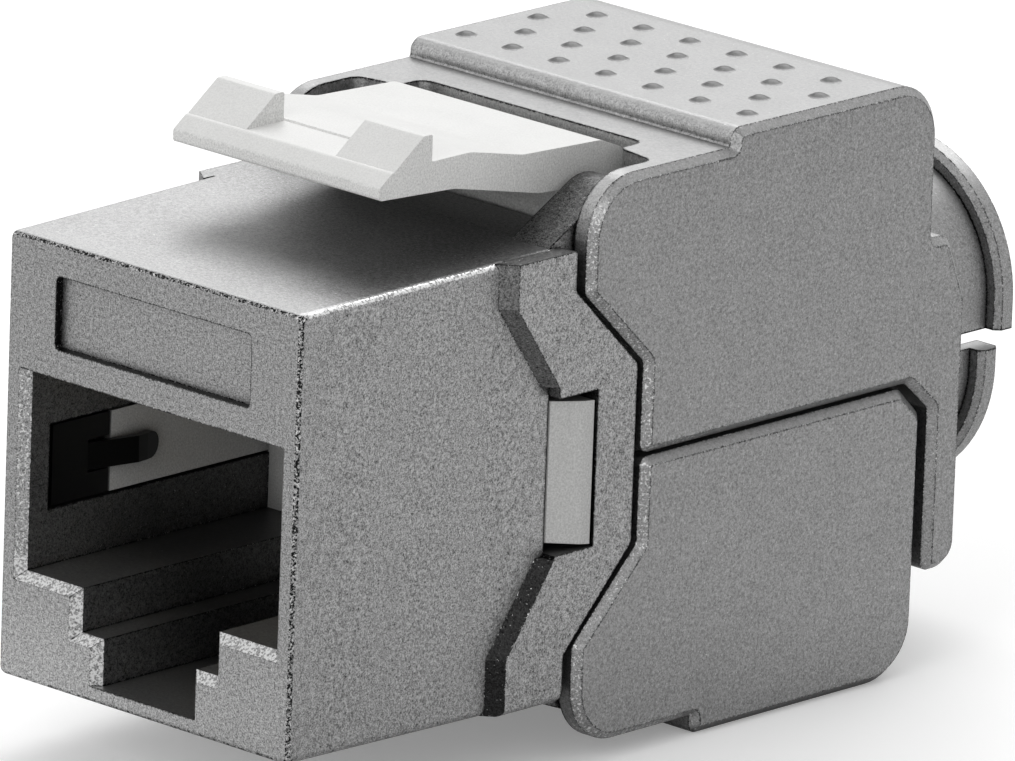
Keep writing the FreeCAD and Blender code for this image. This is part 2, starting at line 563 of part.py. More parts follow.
# ---- keystone latch ------------------------------------------------------------------------------
def keystone_latch():
    """The springing tongue with its two teeth, round root and the pins that hold it between the lugs."""
    top = LATCH_TOP
    tip_top = top - LATCH_CREASE_DROP
    upper = [(LATCH_TIP_Y, top - LATCH_TIP_THICK, 0.15), (LATCH_TIP_Y, top - LATCH_TIP_DROP, 0.15),
             (LATCH_TIP_Y + LATCH_TIP_RUN, tip_top, 0.3), (LATCH_CREASE_Y, tip_top, 0),
             (LATCH_CREASE_Y + 0.05, top, 0), (LATCH_FLAT_END, top, 2.0),
             (LATCH_BEND_Y, top - LATCH_BEND_DROP, 2.0), (LATCH_HEEL_Y, top - LATCH_HEEL_DROP, 1.2),
             (LATCH_REAR, top - LATCH_REAR_DROP, 0.4)]
    under = [(LATCH_ROOT_REAR, LATCH_PIVOT_Z, 0), (LATCH_ROOT_FRONT, LATCH_PIVOT_Z, 0),
             (LATCH_NECK_Y, top - LATCH_NECK_DROP, 0.6), (LATCH_BELLY_Y, top - LATCH_BELLY_DROP, 1.5),
             (LATCH_SOLE_Y, top - LATCH_SOLE_DROP, 2.0)]
    arm = prism_x(upper + under, -HALF_LATCH, HALF_LATCH)
    root = rod_x(LATCH_ROOT_R, -HALF_LATCH, HALF_LATCH, LATCH_PIVOT_Y, LATCH_PIVOT_Z)
    foot, crest = top - TOOTH_ROOT_DROP, top + TOOTH_HEIGHT
    tooth = prism_x([(TOOTH_FRONT, foot, 0), (TOOTH_CREST_Y, crest, 0.15), (TOOTH_REAR, crest, 0.1),
                     (TOOTH_REAR, foot, 0)], HALF_LATCH - TOOTH_WIDTH, HALF_LATCH)
    pin = rod_x(LATCH_PIN_R, HALF_LATCH - 0.3, LUG_INNER_X + LATCH_PIN_LENGTH, LATCH_PIVOT_Y, LATCH_PIVOT_Z)
    return arm.fuse([root] + both_sides(tooth) + both_sides(pin))


# ---- insert and contacts -------------------------------------------------------------------------
def contact_positions():
    first = -CONTACT_PITCH * (CONTACT_COUNT - 1) / 2
    return [first + CONTACT_PITCH * index for index in range(CONTACT_COUNT)]


def insert_body():
    """The plastic body that closes the back of the port and snaps into the side windows."""
    body = box(-INSERT_X, INSERT_X, PORT_DEPTH, INSERT_REAR, INSERT_LOW, INSERT_TOP)
    hollow = box(-INSERT_X + 1, INSERT_X - 1, PORT_DEPTH + 1.4, INSERT_REAR + 1,
                 INSERT_LOW + 1, CARRIER_LOW - 0.6)
    tip_x = HALF_FLANGE - TAB_TIP_INSET
    rear_y = FLANGE_MID_FRONT + WINDOW_LENGTH - 0.1
    low, top = WINDOW_LOW + TAB_END_GAP, WINDOW_TOP - TAB_END_GAP
    front_y = PORT_DEPTH + 0.05
    wedge = prism_z([(INSERT_X - 0.2, front_y, 0), (HALF_FRONT + 0.25, front_y, 0),
                     (tip_x, rear_y - 0.5, 0.4), (tip_x, rear_y, 0), (INSERT_X - 0.2, rear_y, 0)], low, top)
    ends = prism_x([(front_y - 1, low + TAB_TAPER * 1.5, 0), (rear_y, low, 0), (rear_y + 1, low, 0),
                    (rear_y + 1, top - TAB_TAPER, 0), (rear_y, top - TAB_TAPER, 0), (front_y - 1, top, 0)],
                   HALF_PORT, HALF_FLANGE)
    wedge = wedge.common(ends.fuse(box(0, INSERT_X, front_y - 1, rear_y + 1, low, top)))
    arm_x = HALF_PORT + SPRING_POCKET - FIT_GAP
    arm_low, arm_top = SPRING_MID_Z - SPRING_HEIGHT / 2, SPRING_MID_Z + SPRING_HEIGHT / 2
    arm = box(HALF_PORT + 0.04, arm_x, ARM_FRONT, PORT_DEPTH + 1, arm_low, arm_top)
    arm_root = box(min(INSERT_X, arm_x) - 0.3, arm_x, PORT_DEPTH, PORT_DEPTH + 3, arm_low, arm_top)
    comb_low = CONTACT_TIP_Z - 0.45
    comb = box(-CONTACT_PITCH * CONTACT_COUNT / 2 - 0.4, CONTACT_PITCH * CONTACT_COUNT / 2 + 0.4,
               PORT_DEPTH - 2.2, PORT_DEPTH + 0.2, comb_low, CARRIER_LOW)
    wire_slot = box(-CONTACT_PITCH * CONTACT_COUNT / 2, CONTACT_PITCH * CONTACT_COUNT / 2, PORT_DEPTH - 0.5,
                    INSERT_REAR + 1, CONTACT_TOP_Z - 0.45, CONTACT_TOP_Z + 0.45)
    slots = [box(x - 0.33, x + 0.33, PORT_DEPTH - 3, PORT_DEPTH - 0.6, comb_low - 1, CARRIER_LOW + 1)
             for x in contact_positions()]
    sides = both_sides(wedge) + both_sides(arm) + both_sides(arm_root)
    return body.cut([hollow, wire_slot]).fuse(sides + [comb]).cut(slots)


def contact_carrier():
    """The tray over the port that holds the contacts in a row of grooves."""
    tray = box(-CARRIER_X, CARRIER_X, CARRIER_FRONT, PORT_DEPTH, CARRIER_LOW, CARRIER_TOP)
    grooves = [box(x - 0.33, x + 0.33, CONTACT_BEND_Y - 0.4, PORT_DEPTH + 1, CARRIER_LOW - 1,
                   CONTACT_TOP_Z + CONTACT_THICK / 2) for x in contact_positions()]
    lead_in = prism_x([(CARRIER_FRONT - 1, CARRIER_LOW - 1, 0), (CARRIER_FRONT + 1.2, CARRIER_LOW - 0.01, 0),
                       (CARRIER_FRONT - 0.01, CARRIER_LOW + 1.2, 0)], -CARRIER_X - 1, CARRIER_X + 1)
    return tray.cut(grooves + [lead_in])


def contact(x):
    """One spring contact: along the carrier, round its bend and back down into the port."""
    radius = 0.55
    centre_y = CONTACT_BEND_Y + CONTACT_THICK / 2 + radius
    centre_z = CONTACT_TOP_Z - radius
    fall = math.atan2(centre_z - CONTACT_TIP_Z, CONTACT_TIP_Y - centre_y)
    points = [(BOARD_REAR + 0.2, CONTACT_TOP_Z), (centre_y, CONTACT_TOP_Z)]
    sweep = math.pi - fall
    steps = 5
    for index in range(1, steps + 1):
        angle = math.pi / 2 + sweep * index / steps
        points.append((centre_y + radius * math.cos(angle), centre_z + radius * math.sin(angle)))
    points += [(CONTACT_TIP_Y, CONTACT_TIP_Z), (CONTACT_TIP_Y + 0.7, CONTACT_TIP_Z + 0.35)]
    return strip(points, CONTACT_THICK, x - CONTACT_WIDTH / 2, x + CONTACT_WIDTH / 2)


def circuit_board():
    board = box(-INSERT_X, INSERT_X, BOARD_FRONT, BOARD_REAR, INSERT_LOW + 0.3, INSERT_TOP - 0.3)
    holes = [box(x - CONTACT_WIDTH / 2, x + CONTACT_WIDTH / 2, BOARD_FRONT - 1, BOARD_REAR + 1,
                 CONTACT_TOP_Z - CONTACT_THICK / 2, CONTACT_TOP_Z + CONTACT_THICK / 2)
             for x in contact_positions()]
    return board.cut(holes)


def shield_spring():
    """The right earthing spring: a plate let into the side wall with a bowed finger freed from its middle."""
    half = SPRING_THICK / 2
    seat = HALF_PORT + 0.04 + half
    crown = HALF_PORT - SPRING_BULGE + half
    low, top = SPRING_MID_Z - SPRING_HEIGHT / 2, SPRING_MID_Z + SPRING_HEIGHT / 2
    finger_low, finger_top = SPRING_MID_Z - FINGER_HEIGHT / 2, SPRING_MID_Z + FINGER_HEIGHT / 2
    plate = box(seat - half, seat + half, SPRING_POCKET_FRONT + 0.2, ARM_FRONT - 0.1, low, top)
    opening = box(seat - 1, seat + 1, FINGER_ROOT_Y, ARM_FRONT, finger_low - 0.12, finger_top + 0.12)
    path = [(seat, FINGER_ROOT_Y - 0.3), (seat, FINGER_ROOT_Y), (crown, FINGER_TIP_Y - 1.2),
            (crown + 0.05, FINGER_TIP_Y - 0.7), (crown + 0.2, FINGER_TIP_Y)]
    loop = [(x + half, y, 0) for x, y in path] + [(x - half, y, 0) for x, y in reversed(path)]
    finger = prism_z(loop, finger_low, finger_top)
    tip_r = FINGER_HEIGHT * 0.49
    tip = prism_x([(FINGER_ROOT_Y - 1, finger_low, 0), (FINGER_TIP_Y, finger_low, tip_r),
                   (FINGER_TIP_Y, finger_top, tip_r), (FINGER_ROOT_Y - 1, finger_top, 0)], 0, HALF_PORT + 1)
    return plate.cut(opening).fuse(finger.common(tip))


# ---- wiring --------------------------------------------------------------------------------------
def wire_positions():
    first = -WIRE_PITCH * (WIRE_ROWS - 1) / 2
    return [first + WIRE_PITCH * index for index in range(WIRE_ROWS)]


def wire_grooves(y0, y1):
    """Upper and lower conductor grooves, side by side along the cable's direction."""
    upper = [box(x - GROOVE_WIDTH / 2, x + GROOVE_WIDTH / 2, y0, y1, GROOVE_FLOOR, BLOCK_TOP + 1)
             for x in wire_positions()]
    return upper + [flip_z(groove) for groove in upper]


def blade_seat(x, gap):
    """The room that one blade takes in the terminal block, larger all round by gap."""
    half = BLADE_WIDTH / 2 + gap
    return box(x - half, x + half, BLADE_Y - gap, BLADE_Y + BLADE_THICK + gap, GROOVE_FLOOR - 1.0 - gap,
               BLOCK_TOP - BLADE_INSET + gap)


def terminal_block():
    """The block behind the board that holds the cutting blades in two rows."""
    low = 2 * CABLE_Z - BLOCK_TOP
    block = box(-HALF_BLOCK, HALF_BLOCK, BLOCK_FRONT, BLOCK_REAR, low, BLOCK_TOP)
    seats = [blade_seat(x, 0.05) for x in wire_positions()]
    tails = [box(x - 0.35, x + 0.35, BLOCK_FRONT - 1, BLADE_Y + 0.1, GROOVE_FLOOR - 1.0, GROOVE_FLOOR - 0.4)
             for x in wire_positions()]
    open_top = [box(x - BLADE_WIDTH / 2 - 0.05, x + BLADE_WIDTH / 2 + 0.05, BLADE_Y - 0.05,
                    BLADE_Y + BLADE_THICK + 0.05, GROOVE_FLOOR, BLOCK_TOP + 1) for x in wire_positions()]
    upper_cuts = seats + tails + open_top
    cuts = upper_cuts + [flip_z(cut) for cut in upper_cuts]
    return block.cut(wire_grooves(BLOCK_FRONT + 0.5, BLOCK_REAR + 1) + cuts)


def upper_blade(x):
    """One insulation displacement blade with its slit, and the tail that enters the board."""
    plate = blade_seat(x, 0)
    slit_low = GROOVE_FLOOR + 0.2
    slit = box(x - BLADE_SLIT / 2, x + BLADE_SLIT / 2, BLADE_Y - 1, BLADE_Y + 1, slit_low, BLOCK_TOP + 1)
    mouth = prism_y([(x - 0.75, BLOCK_TOP, 0), (x, slit_low + 1.0, 0), (x + 0.75, BLOCK_TOP, 0)],
                    BLADE_Y - 1, BLADE_Y + 1)
    tail = box(x - 0.3, x + 0.3, BOARD_REAR, BLADE_Y + 0.1, GROOVE_FLOOR - 0.95, GROOVE_FLOOR - 0.45)
    return plate.cut([slit, mouth]).fuse(tail)


def wire_manager():
    """The lift-out guide that spreads the conductors from the cable to the two rows of grooves."""
    low = 2 * CABLE_Z - BLOCK_TOP
    body = prism_y([(-HALF_BLOCK, low, 0.8), (HALF_BLOCK, low, 0.8), (HALF_BLOCK, BLOCK_TOP, 0.8),
                    (-HALF_BLOCK, BLOCK_TOP, 0.8)], MANAGER_FRONT, MANAGER_REAR)
    pocket = rod_y(CORE_POCKET_R, MANAGER_FRONT + 1.4, MANAGER_REAR + 1, CABLE_Z)
    return body.cut(wire_grooves(MANAGER_FRONT - 1, MANAGER_REAR + 1) + [pocket])


def presser(ceiling, roof, deck_step):
    """The plastic comb inside the upper cover whose ribs push the conductors into the blades."""
    front = BLOCK_FRONT + 0.5
    rear = BLOCK_REAR - 0.4
    plate = box(-HALF_BLOCK, HALF_BLOCK, front, rear, ceiling - PLATE_THICK, ceiling)
    boss = box(-HALF_BLOCK, HALF_BLOCK, deck_step, rear, ceiling - 0.1, roof)
    rib_low = GROOVE_FLOOR + WIRE_SPACE
    ribs = []
    for x in wire_positions():
        for y0, y1 in ((front, front + 0.8), (BLADE_Y + 1.2, rear)):
            ribs.append(box(x - RIB_WIDTH / 2, x + RIB_WIDTH / 2, y0, y1, rib_low, ceiling - PLATE_THICK))
    return plate.fuse([boss] + ribs)


def upper_presser():
    return presser(UPPER_SHOULDER_Z - COVER_WALL, UPPER_PAD_Z - COVER_WALL, PAD_FRONT + COVER_WALL + 0.1)


def lower_presser():
    deck = 2 * CABLE_Z - (LOWER_SHOULDER_Z + COVER_WALL)
    floor = 2 * CABLE_Z - (LOWER_PAD_Z + COVER_WALL)
    return flip_z(presser(deck, floor, LOWER_PAD_FRONT + COVER_WALL + 0.1))


# ---- all pieces ----------------------------------------------------------------------------------
def all_parts():
    parts = {
        "front_housing": front_housing(),
        "upper_cover": upper_cover(),
        "lower_cover": lower_cover(),
        "keystone_latch": keystone_latch(),
        "insert_body": insert_body(),
        "contact_carrier": contact_carrier(),
        "circuit_board": circuit_board(),
        "terminal_block": terminal_block(),
        "wire_manager": wire_manager(),
        "upper_presser": upper_presser(),
        "lower_presser": lower_presser(),
    }
    parts["right_shield_spring"], parts["left_shield_spring"] = both_sides(shield_spring())
    for number, x in enumerate(contact_positions(), start=1):
        parts[f"contact_{number}"] = contact(x)
    for number, x in enumerate(wire_positions(), start=1):
        parts[f"upper_blade_{number}"] = upper_blade(x)
        parts[f"lower_blade_{number}"] = flip_z(upper_blade(x))
    return parts


def single_solid(shape):
    """The shape as one clean solid."""
    clean = shape.removeSplitter()
    return clean.Solids[0] if len(clean.Solids) == 1 else clean


os.makedirs("parts", exist_ok=True)
for node, shape in all_parts().items():
    solid = single_solid(shape)
    solid.exportStep(f"parts/{node}.step")
    print(node, "solids", len(solid.Solids), "valid", solid.isValid(), "volume", round(solid.Volume, 2))
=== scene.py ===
"""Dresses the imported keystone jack: nickel-plated shell and covers, plastics, contacts, light, camera.

Everything is in metres in the jack's own frame: X across, Y from the front face to the cable, Z up.
"""
import bmesh
import bpy
import math
from mathutils import Matrix, Vector


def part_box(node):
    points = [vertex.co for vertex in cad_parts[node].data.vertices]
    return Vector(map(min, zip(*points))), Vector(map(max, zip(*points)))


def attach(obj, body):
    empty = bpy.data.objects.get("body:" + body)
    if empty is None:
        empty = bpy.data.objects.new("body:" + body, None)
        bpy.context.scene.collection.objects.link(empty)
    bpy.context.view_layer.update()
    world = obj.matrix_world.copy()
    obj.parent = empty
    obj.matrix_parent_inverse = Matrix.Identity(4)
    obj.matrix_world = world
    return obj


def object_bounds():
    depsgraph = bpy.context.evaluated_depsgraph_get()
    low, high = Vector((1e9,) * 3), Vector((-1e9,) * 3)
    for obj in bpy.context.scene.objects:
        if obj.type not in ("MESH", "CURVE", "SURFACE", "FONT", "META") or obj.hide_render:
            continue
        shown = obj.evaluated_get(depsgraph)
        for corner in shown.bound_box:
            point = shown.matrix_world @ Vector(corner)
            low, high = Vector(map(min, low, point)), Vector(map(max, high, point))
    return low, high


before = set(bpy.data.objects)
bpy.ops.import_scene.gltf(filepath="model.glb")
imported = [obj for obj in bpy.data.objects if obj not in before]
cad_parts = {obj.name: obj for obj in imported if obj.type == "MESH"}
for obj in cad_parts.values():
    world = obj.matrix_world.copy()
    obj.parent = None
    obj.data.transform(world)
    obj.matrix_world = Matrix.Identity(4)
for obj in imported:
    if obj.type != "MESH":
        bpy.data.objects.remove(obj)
cad_bounds = [list(corner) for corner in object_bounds()]
cad_low, cad_high = Vector(cad_bounds[0]), Vector(cad_bounds[1])
MM = 0.001

# Places on the jack, in millimetres, where the finish and its painted light and shade change.
BODY_TOP = 16.5
BODY_SIDE = 6.95             # from the centre plane, where the body's long edges start to round
PORT_HALF = 6.4              # from the centre plane, just outside the port's side walls
PORT_TOP = 11.53
PORT_LOW = 0.35              # just under the plug tab's keyway
LEDGE_TOP = 4.0
PORT_SHADE_FROM = 1.5         # depth in the port at which the painted shade starts
PORT_SHADE_TO = 7.0
CHAMBER_TOP = 15.4           # room for the contacts above the port
LABEL_LOW, LABEL_TOP = 12.6, 15.3
LABEL_SIDE = 6.0
LABEL_DEPTH = 0.3
FRONT_ROUND = 0.3            # the rounded edges of the front reach this far back
MOUTH_BEVEL = 0.35
RAMP_INNER = 7.2
RAMP_FRONT = 9.0
PAD_FOOT = 17.4
PAD_FRONT = 21.1
CHEEK_REAR = 19.0

# Plating: how much light it sends back, and how strong its speckle is.
SHELL_NICKEL, SHELL_SPECKLE = 0.3, 3.2
COVER_NICKEL, COVER_SPECKLE = 0.275, 1.9
# Greys of the painted highlights and the painted dark reflections on edges.
HIGHLIGHT_GREY = 0.7
DARK_REFLECTION_GREY = 0.012
FINE_GRAIN, COARSE_GRAIN, CLOUDS = 0.06, 0.15, 1.8      # spot sizes in millimetres
EDGE_REACH, COVER_EDGE_REACH = 0.16, 0.18               # width of the ragged painted highlights and dark reflections on edges
CORNER_REACH = 0.7                                      # how far the painted shade in corners reaches
PORT_SHADE_SHARE, RAMP_SHADE_SHARE, LABEL_SHADE_SHARE = 0.64, 0.93, 0.96     # share of the tone taken by painted shade
LIP_HIGHLIGHT, LONG_EDGE_HIGHLIGHT, CHEEK_HIGHLIGHT = 0.5, 0.55, 0.28  # how strong the painted highlight on a rounded edge is

# Grip pips on the upper cover's pad, in millimetres.
PIP_ROWS = 4
PIPS_IN_LONG_ROW = 7
PIP_FIRST_ROW = 1.9          # from the pad's front
PIP_ROW_PITCH = 1.9
PIP_PITCH = 2.33
PIP_SIDES = 14
PIP_PROFILE = ((0.5, -0.03), (0.39, 0.01), (0.3, 0.05), (0.21, 0.1), (0.11, 0.13), (0.04, 0.135))

# Studio, in metres and watts.
FLOOR_GAP = 0.02 * MM
FLOOR_HALF = 3.0
FLOOR_LIFT, FLOOR_GLOW = 0.22, 0.06      # light added for the camera and for reflections
SKY_LIGHT = 0.45                         # the white sky's strength where it isn't seen
TOP_BANK = {"offset": (-0.15, 0.25, 0.35), "side": 0.35, "watts": 1.3}
FRONT_BANK = {"offset": (0.1, -0.45, 0.25), "side": 0.3, "watts": 0.7}

# The camera stands in front, to the right and a little above.
VIEW_AZIMUTH, VIEW_ELEVATION, VIEW_ROLL = (math.radians(angle) for angle in (43.08, 16.2, 2.09))
VIEW_TARGET = Vector((0, 15.0, 8.3)) * MM
VIEW_RIGHT, VIEW_UP = 2.367 * MM, 1.382 * MM      # shifts of the picture's middle from the target
VIEW_DISTANCE = 0.6
VIEW_WIDTH = 36.55 * MM                           # what the picture spans at the target
SENSOR_WIDTH = 36.0


# ---- shader arithmetic --------------------------------------------------------------------------
class Signal:
    """A shader socket that takes part in plain arithmetic."""

    def __init__(self, graph, socket):
        self.graph = graph
        self.socket = socket

    def _math(self, operation, *others):
        values = {0: self}
        for place, other in enumerate(others, start=1):
            values[place] = other
        return self.graph.node("ShaderNodeMath", {"operation": operation}, values)

    def _math_reflected(self, operation, other):
        return self.graph.node("ShaderNodeMath", {"operation": operation}, {0: other, 1: self})

    def __add__(self, other):
        return self._math("ADD", other)

    def __radd__(self, other):
        return self._math_reflected("ADD", other)

    def __sub__(self, other):
        return self._math("SUBTRACT", other)

    def __rsub__(self, other):
        return self._math_reflected("SUBTRACT", other)

    def __mul__(self, other):
        return self._math("MULTIPLY", other)

    def __rmul__(self, other):
        return self._math_reflected("MULTIPLY", other)

    def power(self, exponent):
        return self._math("POWER", exponent)

    def size(self):
        return self._math("ABSOLUTE")

    def larger(self, other):
        return self._math("MAXIMUM", other)

    def clamped(self):
        return self.graph.node("ShaderNodeClamp", {}, {"Value": self}, "Result")


class Graph:
    """The node tree of one material or world."""

    def __init__(self, owner):
        owner.use_nodes = True
        self.tree = owner.node_tree
        self.tree.nodes.clear()

    def node(self, kind, settings, values, output=0):
        """Makes a node, settings first and inputs next; returns one output, or all of them for None."""
        made = self.tree.nodes.new(kind)
        for name, value in settings.items():
            setattr(made, name, value)
        for name, value in values.items():
            socket = made.inputs[name]
            if isinstance(value, Signal):
                self.tree.links.new(value.socket, socket)
            else:
                socket.default_value = value
        if output is None:
            return {item.name: Signal(self, item) for item in made.outputs if item.enabled}
        return Signal(self, made.outputs[output])

    def place(self):
        return self.node("ShaderNodeTexCoord", {}, {}, "Object")

    def along(self, axis):
        """The distance along one axis of the jack, in millimetres."""
        return self.node("ShaderNodeSeparateXYZ", {}, {"Vector": self.place()}, axis) * 1000

    def fade(self, signal, start, end):
        """A soft step from 0 at start to 1 at end."""
        return self.node("ShaderNodeMapRange", {"interpolation_type": "SMOOTHSTEP"},
                         {"Value": signal, "From Min": start, "From Max": end})

    def until(self, signal, start, end):
        """A soft step from 1 at start to 0 at end."""
        return 1 - self.fade(signal, start, end)

    def grain(self, size_mm, detail=2.0):
        """Fine random grain whose spots are about size_mm across."""
        return self.node("ShaderNodeTexNoise", {}, {"Vector": self.place(), "Scale": 1000 / size_mm,
                                                    "Detail": detail, "Roughness": 0.6}, "Fac")

    def mix(self, share, first, second):
        """A colour between first and second."""
        return self.node("ShaderNodeMix", {"data_type": "RGBA"}, {"Factor": share, 6: first, 7: second}, 2)

    def bump(self, height, depth_mm, strength):
        return self.node("ShaderNodeBump", {}, {"Height": height, "Distance": depth_mm * MM,
                                                "Strength": strength})

    def edges(self, radius_mm):
        """How close the surface is to a sharp edge: 1 on a square edge, 0 a radius away from it."""
        soft = self.node("ShaderNodeBevel", {"samples": 8}, {"Radius": radius_mm * MM})
        flat = self.node("ShaderNodeNewGeometry", {}, {}, "True Normal")
        match = self.node("ShaderNodeVectorMath", {"operation": "DOT_PRODUCT"}, {0: soft, 1: flat}, "Value")
        return (1 - match).larger(0).power(0.5) * 1.85

    def facing(self):
        """The three parts of the surface's own direction."""
        direction = self.node("ShaderNodeTexCoord", {}, {}, "Normal")
        return self.node("ShaderNodeSeparateXYZ", {}, {"Vector": direction}, None)

    def slant(self):
        """0 on faces square to the jack's axes, near 0.3 on slanted and rounded ones."""
        parts = self.facing()
        return 1 - parts["X"].size().larger(parts["Y"].size()).larger(parts["Z"].size())

    def open_air(self, reach_mm):
        """1 on open faces, less in corners and gaps."""
        return self.node("ShaderNodeAmbientOcclusion", {"samples": 4}, {"Distance": reach_mm * MM}, "AO")

    def surface(self, **sockets):
        shader = self.node("ShaderNodeBsdfPrincipled", {}, sockets)
        self.node("ShaderNodeOutputMaterial", {}, {"Surface": shader}, None)


def material(name):
    return bpy.data.materials.new(name)


def grey(level):
    return (level, level, level, 1)


# ---- finishes -----------------------------------------------------------------------------------
def port_shade(graph):
    """How deep a surface lies inside the plug port and the room behind it, for the painted shade there."""
    high = graph.along("Z")
    depth = graph.fade(graph.along("Y"), PORT_SHADE_FROM, PORT_SHADE_TO)
    sides = graph.until(graph.along("X").size(), PORT_HALF, PORT_HALF + 0.4)
    return depth * sides * graph.fade(high, 0.1, 0.5) * graph.until(high, CHAMBER_TOP, CHAMBER_TOP + 0.3)


def ramp_shade(graph):
    """Painted shade on the slanted fronts of the flange, strongest on the lower ones."""
    forward = graph.until(graph.facing()["Y"], -0.45, -0.3)
    outside = graph.fade(graph.along("X").size(), RAMP_INNER, RAMP_INNER + 0.05)
    behind = graph.fade(graph.along("Y"), RAMP_FRONT, RAMP_FRONT + 0.4)
    return forward * outside * behind * (1 - graph.fade(graph.along("Z"), 8.0, 12.0) * 0.45)


def latch_shadow(graph):
    """A painted shadow on the rear and right of the body's top, round the latch."""
    across, along = graph.along("X"), graph.along("Y")
    reach = along + across * 0.6
    rear = graph.fade(reach, 5.0, 10.0) * 0.22 + graph.fade(reach, 9.0, 14.0) * 0.18
    right = graph.fade(across, 2.5, 6.5) * graph.fade(along, 0.8, 4.0) * 0.3
    upward = graph.fade(graph.facing()["Z"], 0.7, 0.9)
    return (rear + right) * upward * graph.fade(graph.along("Z"), BODY_TOP - 0.7, BODY_TOP - 0.3)


def label_wall_shade(graph):
    """Painted shade on the steep sides of the bare label recess."""
    high = graph.along("Z")
    steep = graph.until(graph.facing()["Y"].size(), 0.5, 0.8)
    shallow = graph.until(graph.along("Y"), LABEL_DEPTH, LABEL_DEPTH + 0.1)
    tall = graph.fade(high, LABEL_LOW - 0.2, LABEL_LOW - 0.1)
    tall = tall * graph.until(high, LABEL_TOP, LABEL_TOP + 0.2)
    return steep * shallow * tall * graph.until(graph.along("X").size(), LABEL_SIDE, LABEL_SIDE + 0.4)


def in_port_mouth(graph):
    """1 over the port's outline and its bevelled lip."""
    high = graph.along("Z")
    wide = graph.until(graph.along("X").size(), PORT_HALF + 0.3, PORT_HALF + 0.4)
    tall = graph.fade(high, PORT_LOW, PORT_LOW + 0.05) * graph.until(high, PORT_TOP + 0.5, PORT_TOP + 0.6)
    return wide * tall


def front_round_lines(graph):
    """The rounded edges that frame the front, where ragged painted dark reflections and highlights lie."""
    near = graph.until(graph.along("Y"), FRONT_ROUND, FRONT_ROUND + 0.1)
    level = graph.until(graph.facing()["Z"], 0.8, 0.95)
    line_strength = 0.56 + graph.fade(graph.along("Z"), 0.3, 0.8) * 0.08
    return graph.fade(graph.slant(), 0.0, 0.06) * near * (1 - in_port_mouth(graph)) * level * line_strength


def port_lip_highlight(graph):
    """Painted highlights on the bevelled lip of the port, strong along its ledges and weaker along its
    sides.
    """
    near = graph.until(graph.along("Y"), MOUTH_BEVEL, MOUTH_BEVEL + 0.1)
    low = 1 - graph.fade(graph.along("Z"), LEDGE_TOP + 0.4, LEDGE_TOP + 0.8) * 0.4
    return graph.fade(graph.slant(), 0.05, 0.2) * near * in_port_mouth(graph) * low


def long_round_highlight(graph):
    """Painted highlights on the rounded edges along the top of the body's sides."""
    high = graph.fade(graph.along("Z"), BODY_TOP - 0.35, BODY_TOP - 0.25)
    outer = graph.fade(graph.along("X").size(), BODY_SIDE - 0.15, BODY_SIDE)
    behind = graph.fade(graph.along("Y"), FRONT_ROUND, FRONT_ROUND + 0.2)
    sideways = graph.fade(graph.facing()["Y"], -0.45, -0.3)
    return graph.fade(graph.slant(), 0.03, 0.15) * high * outer * behind * sideways


def low_front_light(graph):
    """Painted light on the lower part of the flat front, which makes it a little brighter."""
    return graph.until(graph.along("Z"), 0.5, 6.0) * graph.until(graph.facing()["Y"], -0.9, -0.8)


def shell_nickel():
    """The front housing: strong speckle, painted highlights on the port's lip and long edges, painted shade
    and shadow, painted light low on the front.
    """
    finish = material("shell_nickel")
    graph = Graph(finish)
    # Painted shadow round the latch, with more grain in it; painted shade in the port, under the flange
    # ramps and on the label's walls.
    shaded = latch_shadow(graph)
    region_shade = port_shade(graph) * PORT_SHADE_SHARE + ramp_shade(graph) * RAMP_SHADE_SHARE + label_wall_shade(graph) * LABEL_SHADE_SHARE
    painted_shade = (region_shade + shaded).clamped()
    # Painted dark reflections and highlights along edges; painted highlights on the port's lip and the long
    # edges.
    edge = (graph.edges(EDGE_REACH) * 1.1).larger(front_round_lines(graph))
    painted_highlight = port_lip_highlight(graph) * LIP_HIGHLIGHT + long_round_highlight(graph) * LONG_EDGE_HIGHLIGHT
    # Painted light low on the front.
    level = SHELL_NICKEL * (1 + low_front_light(graph) * 0.3)
    nickel(graph, level, SHELL_SPECKLE + shaded * 9, edge, painted_shade, painted_highlight)
    return finish


def cover_nickel():
    """The covers: finer speckle, painted highlights and dark reflections on edges and bevels, painted light
    on the pad's front.
    """
    finish = material("cover_nickel")
    graph = Graph(finish)
    facing = graph.facing()
    # Painted highlights on the cheeks' bevels, fading out behind the cheeks.
    bevels = graph.fade(graph.slant(), 0.1, 0.25) * graph.until(facing["Z"], 0.4, 0.6)
    painted_highlight = bevels * graph.until(graph.along("Y"), CHEEK_REAR, CHEEK_REAR + 3) * CHEEK_HIGHLIGHT
    # Painted light on the pad's forward-facing faces.
    pad_face_light = graph.until(facing["Y"], -0.6, -0.4) * graph.fade(graph.along("Z"), PAD_FOOT, PAD_FOOT + 0.5)
    level = COVER_NICKEL * (1 + pad_face_light * 0.45)
    # Painted dark reflections and highlights along the covers' edges.
    nickel(graph, level, COVER_SPECKLE, graph.edges(COVER_EDGE_REACH) * 1.5, None, painted_highlight)
    return finish


def pip_nickel(pad_top):
    """The pips: the covers' plating, with painted shade growing towards the tips."""
    finish = material("pip_nickel")
    graph = Graph(finish)
    tip_shade = graph.fade(graph.along("Z"), pad_top - 0.02, pad_top + 0.05) * 0.68
    satin(graph, speckled(graph, COVER_NICKEL, COVER_SPECKLE) * (1 - tip_shade))
    return finish


def speckled(graph, level, contrast):
    """The plating's tone: fine and coarse speckle and soft clouds, calmer on faces that look up."""
    calm = 1 - graph.fade(graph.facing()["Z"], 0.4, 0.9) * 0.55
    spots = graph.grain(FINE_GRAIN) - 0.5 + (graph.grain(COARSE_GRAIN) - 0.5) * 0.5
    return level * (1 + spots * contrast * calm + (graph.grain(CLOUDS) - 0.5) * 0.16)


